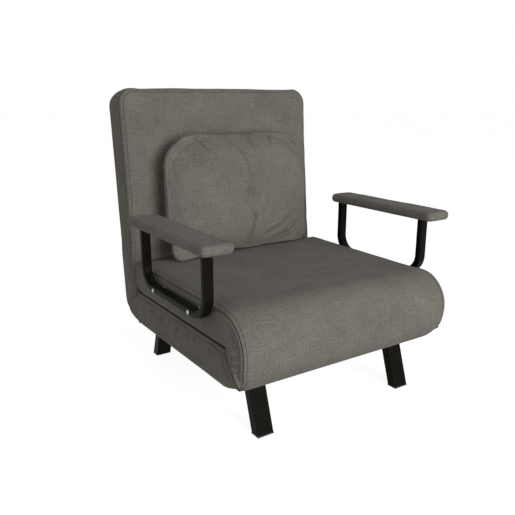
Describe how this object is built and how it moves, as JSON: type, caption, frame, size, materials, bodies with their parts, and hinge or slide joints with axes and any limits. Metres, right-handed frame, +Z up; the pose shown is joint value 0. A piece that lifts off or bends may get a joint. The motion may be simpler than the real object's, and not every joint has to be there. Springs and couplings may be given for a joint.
{
  "type": "convertible chair bed",
  "caption": "Upholstered armchair whose seat flips forward and whose back reclines to make a level single bed, on a steel base with splayed legs and a loose pillow.",
  "frame": {"origin": "centre of the chair's footprint box, on the floor, with the chair set up as a seat", "axes": "+Z up; the chair faces -Y, with its back at +Y; +X is the side on the right of someone who looks at the chair from the front"},
  "size_m": [0.778, 0.7434, 0.8046],
  "materials": {
    "cover_cloth": "grey-brown woven polyester, matt",
    "pillow_cloth": "grey-brown woven polyester, matt",
    "arm_cloth": "grey-brown woven polyester, pulled tight",
    "black_steel": "black powder coat, satin",
    "zinc_steel": "zinc plated, dull",
    "bright_bolt": "bright plated",
    "black_plastic": "moulded, matt",
    "black_rubber": "matt",
    "plywood": "raw"
  },
  "bodies": {
    "base": {"base_frame": "black_steel", "lower_cushion": "cover_cloth", "base_slat_1": "zinc_steel", "base_slat_2": "zinc_steel", "base_slat_3": "zinc_steel", "base_slat_4": "zinc_steel", "leg_front_left": "black_steel", "leg_rear_left": "black_steel", "foot_front_left": "black_plastic", "foot_rear_left": "black_plastic", "front_hinge_bracket_left": "zinc_steel", "front_hinge_pin_left": "zinc_steel", "rear_hinge_base_arm_left": "zinc_steel", "rear_hinge_pin_left": "zinc_steel", "leg_front_right": "black_steel", "leg_rear_right": "black_steel", "foot_front_right": "black_plastic", "foot_rear_right": "black_plastic", "front_hinge_bracket_right": "zinc_steel", "front_hinge_pin_right": "zinc_steel", "rear_hinge_base_arm_right": "zinc_steel", "rear_hinge_pin_right": "zinc_steel"},
    "seat": {"seat_frame": "black_steel", "seat_cushion": "cover_cloth", "seat_under_cushion": "cover_cloth", "front_roll": "cover_cloth", "seat_slat_1": "zinc_steel", "seat_slat_2": "zinc_steel", "seat_slat_3": "zinc_steel", "front_hinge_leaf_left": "zinc_steel", "arm_tube_left": "black_steel", "arm_board_left": "plywood", "arm_pad_left": "arm_cloth", "arm_bolt_front_left": "bright_bolt", "arm_bolt_rear_left": "bright_bolt", "arm_spacer_front_left": "zinc_steel", "arm_spacer_rear_left": "zinc_steel", "front_hinge_leaf_right": "zinc_steel", "arm_tube_right": "black_steel", "arm_board_right": "plywood", "arm_pad_right": "arm_cloth", "arm_bolt_front_right": "bright_bolt", "arm_bolt_rear_right": "bright_bolt", "arm_spacer_front_right": "zinc_steel", "arm_spacer_rear_right": "zinc_steel"},
    "back": {"back_frame": "black_steel", "back_cushion": "cover_cloth", "back_slat_1": "zinc_steel", "back_slat_2": "zinc_steel", "back_slat_3": "zinc_steel", "rear_hinge_back_arm_left": "zinc_steel", "support_ear_left": "black_steel", "rear_hinge_back_arm_right": "zinc_steel", "support_ear_right": "black_steel"},
    "support_leg": {"support_leg": "black_steel", "support_sleeve_left": "black_rubber", "support_sleeve_right": "black_rubber"},
    "pillow": {"pillow": "pillow_cloth"}
  },
  "joints": [
    {"name": "seat_flip", "type": "hinge", "parent": "base", "child": "seat", "pos_m": [0, -0.3317, 0.2425], "axis": [1, 0, 0], "range_deg": [0, 180], "deforming": ["front_roll", "pillow"]},
    {"name": "back_recline", "type": "hinge", "parent": "base", "child": "back", "pos_m": [0, 0.2572, 0.19816], "axis": [-1, 0, 0], "range_deg": [0, 84.74]},
    {"name": "support_leg_swing", "type": "hinge", "parent": "back", "child": "support_leg", "pos_m": [0, 0.36177, 0.63332], "axis": [1, 0, 0], "range_deg": [0, 90]},
    {"name": "pillow_lift", "type": "slide", "parent": "back", "child": "pillow", "axis": [0, 0.0916, 0.9958], "range_m": [0, 0.3]}
  ]
}
